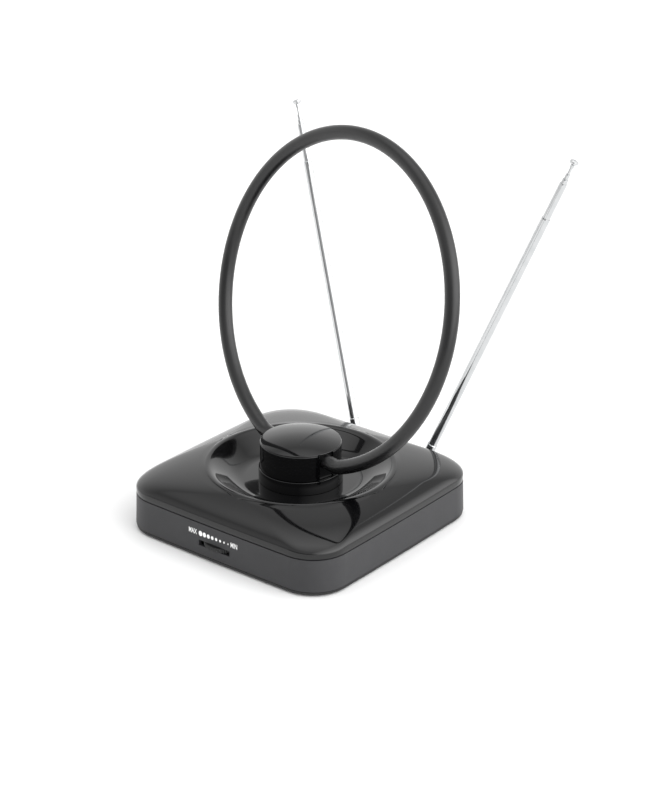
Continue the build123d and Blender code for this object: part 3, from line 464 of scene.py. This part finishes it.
def cap_profile():
    """A shallow dome: a sphere's arc from the middle to a small round at the rim, then the underside
    and the register ring that drops into the turret."""
    rise = CAP_HEIGHT - CAP_EDGE
    sphere = (CAP_RADIUS**2 + rise**2) / (2 * rise)
    radius = np.linspace(0, CAP_RADIUS - CAP_ROUND, 40)
    dome = CAP_SEAT + CAP_HEIGHT - sphere + np.sqrt(sphere**2 - radius**2)
    edge = rounded(
        [(radius[-1], dome[-1]), (CAP_RADIUS, CAP_SEAT + CAP_EDGE), (CAP_RADIUS, CAP_SEAT),
         (REGISTER_RADIUS, CAP_SEAT)], [0, CAP_ROUND, 0.15, 0],
    )
    outside, inside, low = REGISTER_RADIUS, REGISTER_RADIUS - REGISTER_WALL, CAP_SEAT - REGISTER_DEPTH
    under = [(outside, low), (inside, low), (inside, CAP_SEAT), (0, CAP_SEAT)]
    return np.vstack([np.stack([radius, dome], 1), edge[1:], under])


turned("cap_dome", cap_profile(), (0, 0, 0), (0, 0, 1), GLOSS, "turret", ["turret_cap"],
       128)

# ------------------------------------------------------------------ loop
ACROSS = np.array([np.cos(TURRET_TURN), np.sin(TURRET_TURN), 0.0])
AHEAD = np.array([-np.sin(TURRET_TURN), np.cos(TURRET_TURN), 0.0])
LOOP_UP = np.array([0, 0, 1.0]) * np.cos(LOOP_LEAN) + AHEAD * np.sin(LOOP_LEAN)


def loop_sleeve():
    """A circle of the tube's radius carried along the loop, in the plane of ACROSS and LOOP_UP.

    The path leaves each side of the turret straight, turns up through a small arc and follows the
    large circle. Where the arcs meet, their centres and the join lie on one line. The sleeve's two
    ends are closed by rings that shrink to the middle.
    """
    small, big = LOOP_FOOT, LOOP_RADIUS
    lean = np.arccos((LOOP_CENTRE - small) / (big - small))
    foot_x = (big - small) * np.sin(lean)
    straight = np.stack([np.linspace(TURRET_RADIUS - LOOP_SUNK, foot_x, 16), np.zeros(16)], 1)
    turn = np.linspace(0, lean, 16)[1:]
    foot = np.stack([foot_x + small * np.sin(turn), small * (1 - np.cos(turn))], 1)
    sweep = np.linspace(lean, np.pi, 150)[1:]
    arc = np.stack([big * np.sin(sweep), LOOP_CENTRE - big * np.cos(sweep)], 1)
    half = np.vstack([straight, foot, arc])
    path = np.vstack([half, (half[::-1] * (-1, 1))[1:]])
    along = np.gradient(path, axis=0)
    along /= np.linalg.norm(along, axis=1)[:, None]
    out = np.stack([along[:, 1], -along[:, 0]], 1)
    middle = path[:, :1] * ACROSS + path[:, 1:] * LOOP_UP + (0, 0, TILT_HEIGHT)
    normal = out[:, :1] * ACROSS + out[:, 1:] * LOOP_UP
    side = np.cross(ACROSS, LOOP_UP)
    u = np.linspace(0, 2 * np.pi, 40, endpoint=False)
    ring = np.cos(u)[:, None] * normal[:, None] + np.sin(u)[:, None] * side
    points = middle[:, None] + LOOP_TUBE * ring
    shrink = np.array([0.0, 0.5, 0.94])[:, None, None]
    start = middle[0] + LOOP_TUBE * shrink * ring[0]
    end = middle[-1] + LOOP_TUBE * shrink[::-1] * ring[-1]
    points = np.concatenate([start, points[1:-1], end])
    length = np.concatenate([[0], np.cumsum(np.linalg.norm(np.diff(path, axis=0), axis=1))])
    length = np.concatenate([[0, 0, 0], length[1:-1], [length[-1]] * 3])
    uv = np.stack(np.broadcast_arrays(length[:, None], LOOP_TUBE * u[None]), -1)
    return points, uv


sleeve, sleeve_uv = loop_sleeve()
mesh_piece(
    "loop_sleeve", sleeve.reshape(-1, 3), grid_faces(len(sleeve), sleeve.shape[1], False, True),
    SLEEVE, "loop", ["loop_tube"], 40.0, sleeve_uv.reshape(-1, 2),
)

# ------------------------------------------------------------------ gain wheel
RIDGES = 60
RIDGE_DEPTH = 0.45
HUB_RADIUS = 3.0
HUB_FOOT = 7.3
RECESS_RADIUS = 1.8
RECESS_DEPTH = 0.6


def wheel_surface():
    """A disc turned about +Z whose rim is fluted: the radius there falls by depth * |cos(n * u / 2)|^3,
    so that the rim has n round ridges, and its edges are rounded. Its hub ends just above the board."""
    low, high = WHEEL_Z - WHEEL_THICKNESS / 2, WHEEL_Z + WHEEL_THICKNESS / 2
    corners = [(HUB_RADIUS, high), (WHEEL_RADIUS, high), (WHEEL_RADIUS, low), (HUB_RADIUS, low)]
    recess = [(0, high - RECESS_DEPTH), (RECESS_RADIUS, high - RECESS_DEPTH), (RECESS_RADIUS, high)]
    hub = [(HUB_RADIUS, HUB_FOOT), (0, HUB_FOOT)]
    profile = np.vstack([recess, rounded(corners, 0.5, 5), hub])
    u = np.linspace(0, 2 * np.pi, RIDGES * 12, endpoint=False)
    flute = RIDGE_DEPTH * np.abs(np.cos(RIDGES * u / 2)) ** 3
    outer = np.clip((profile[:, :1] - WHEEL_RADIUS + 1.2) / 1.2, 0, 1)
    radius = profile[:, :1] - flute * outer
    points = np.stack([
        WHEEL_X + radius * np.cos(u), WHEEL_Y + radius * np.sin(u),
        np.broadcast_to(profile[:, 1:], radius.shape),
    ], -1)
    return points


wheel = wheel_surface()
mesh_piece(
    "fluted_wheel", wheel.reshape(-1, 3), grid_faces(len(wheel), wheel.shape[1], False, True),
    MOULDED, "gain_wheel", ["gain_wheel"], 40.0,
)

# ------------------------------------------------------------------ scale printed over the wheel
PRINT_LIFT = 0.03
PRINT_Z = 17.3
DOTS = 8
DOT_POINTS = 24
FIRST_DOT = (-12.3, 1.45)       # x and radius of the first and the last dot
LAST_DOT = (9.6, 0.45)
DOT_TALL = 1.2
WORD_SIZE = 4.6
WORD_WEIGHT = 0.09
WORD_NARROW = 0.66


def front_point(x, z):
    """The front wall's face at x and height z: its bow is an arc, s * (1 - (x / L)^2) to first order,
    and the draft draws it in by an even share of its height."""
    long_x = HALF_WIDTH - BULGE
    draft = DRAFT * (z - SHELL_BOTTOM) / (SHELL_TOP - SHELL_BOTTOM)
    y = -(HALF_DEPTH - BULGE + BULGE * (1 - (x / long_x) ** 2) - draft) - PRINT_LIFT
    return np.stack([x, y, np.broadcast_to(z, np.shape(x)) + 0.0 * x], -1)


def print_dots():
    """Ellipses that shrink evenly from left to right, each one flat face on the wall: the point at
    angle u is its middle plus size * (cos u, tall * sin u)."""
    u = np.linspace(0, 2 * np.pi, DOT_POINTS, endpoint=False)
    place, size = np.linspace(FIRST_DOT, LAST_DOT, DOTS).T[:, :, None]
    x = place + size * np.cos(u)
    z = PRINT_Z + DOT_TALL * size * np.sin(u)
    return front_point(x, z).reshape(-1, 3), np.arange(DOTS * DOT_POINTS).reshape(DOTS, -1).tolist()


dots, dot_faces = print_dots()
mesh_piece("scale_dots", dots, dot_faces, INK, "base", (), 35.0)


def print_word(name, word, x):
    """A word set in the plain built-in face, bent on to the front wall: each point's x and height
    give its depth."""
    curve = bpy.data.curves.new(name, "FONT")
    curve.body = word
    curve.size = WORD_SIZE
    curve.offset = WORD_WEIGHT
    curve.align_x = "CENTER"
    curve.align_y = "CENTER"
    text = bpy.data.objects.new(name, curve)
    bpy.context.scene.collection.objects.link(text)
    flat = text.to_mesh()
    points = np.empty(len(flat.vertices) * 3)
    flat.vertices.foreach_get("co", points)
    points = points.reshape(-1, 3)
    faces = [list(face.vertices) for face in flat.polygons]
    text.to_mesh_clear()
    bpy.data.objects.remove(text)
    place = front_point(points[:, 0] * WORD_NARROW + x, points[:, 1] + PRINT_Z)
    return mesh_piece(name, place, faces, INK, "base", (), 35.0)


print_word("scale_high", "MAX", -18.6)
print_word("scale_low", "MIN", 14.2)

# ------------------------------------------------------------------ stage, light and camera
def look_at(obj, target):
    obj.rotation_euler = (Vector(target) - obj.location).to_track_quat("-Z", "Y").to_euler()


AZIMUTH = np.radians(39.1)
ELEVATION = np.radians(23.1)
DISTANCE = 1.31
aim = np.array([0.0, 0.0, 0.1])
back = np.array([
    np.sin(AZIMUTH) * np.cos(ELEVATION), -np.cos(AZIMUTH) * np.cos(ELEVATION), np.sin(ELEVATION),
])
camera_data = bpy.data.cameras.new("camera")
camera = bpy.data.objects.new("camera", camera_data)
bpy.context.scene.collection.objects.link(camera)
camera.location = aim + back * DISTANCE
look_at(camera, aim)
camera_data.lens = 96.525
camera_data.sensor_width = 36.0
camera_data.shift_x = 0.042125
camera_data.shift_y = -0.035625
bpy.context.scene.camera = camera

floor_mesh = bpy.data.meshes.new("floor")
reach = 4.0
floor_mesh.from_pydata(
    [(-reach, -reach, 0), (reach, -reach, 0), (reach, reach, 0), (-reach, reach, 0)], [], [(0, 1, 2, 3)]
)
floor = bpy.data.objects.new("floor", floor_mesh)
bpy.context.scene.collection.objects.link(floor)
floor_material, _, floor_bsdf, _ = new_material("pale_floor", Roughness=0.8)
floor_bsdf.inputs["Base Color"].default_value = colour("#f4f4f4")
floor_mesh.materials.append(floor_material)

# A pale backdrop that dims upwards and brightens again overhead, a darker room behind the camera,
# and a glow from the right.
world = bpy.data.worlds.new("studio")
world.use_nodes = True
sky = world.node_tree
sky.nodes.clear()
heading = add(sky, "ShaderNodeTexCoord").outputs["Generated"]
height = add(sky, "ShaderNodeSeparateXYZ", Vector=heading).outputs["Z"]


def facing(direction):
    """How nearly a heading points along a direction, from -1 to 1."""
    node = add(sky, "ShaderNodeVectorMath", {"operation": "DOT_PRODUCT"}, _0=heading, _1=direction)
    return node.outputs["Value"]


def total(one, other, operation="ADD"):
    """Two levels joined by a sum, or by another operation."""
    return add(sky, "ShaderNodeMath", {"operation": operation}, _0=one, _1=other).outputs[0]


toward = facing((np.sin(AZIMUTH), -np.cos(AZIMUTH), 0.0))
backdrop = total(remap(sky, height, 1.22, 0.6, 0.34, 0.74), remap(sky, height, 0.0, 1.2, 0.72, 0.96))
near_side = remap(sky, height, 0.3, 1.0, 0.1, 0.6)
share = remap(sky, toward, 0.0, 1.0, -0.2, 0.7)
blend = add(sky, "ShaderNodeMix", {"data_type": "FLOAT"}, _0=share, _2=backdrop, _3=near_side).outputs[0]
glow = remap(sky, facing((0.96, 0.1, 0.26)), 0.0, 2.6, 0.5, 0.98)
paper = add(sky, "ShaderNodeBackground", Color=(1, 1, 1, 1), Strength=total(blend, glow))
add(sky, "ShaderNodeOutputWorld", Surface=paper.outputs[0])
bpy.context.scene.world = world

bpy.context.scene.view_settings.view_transform = "Standard"
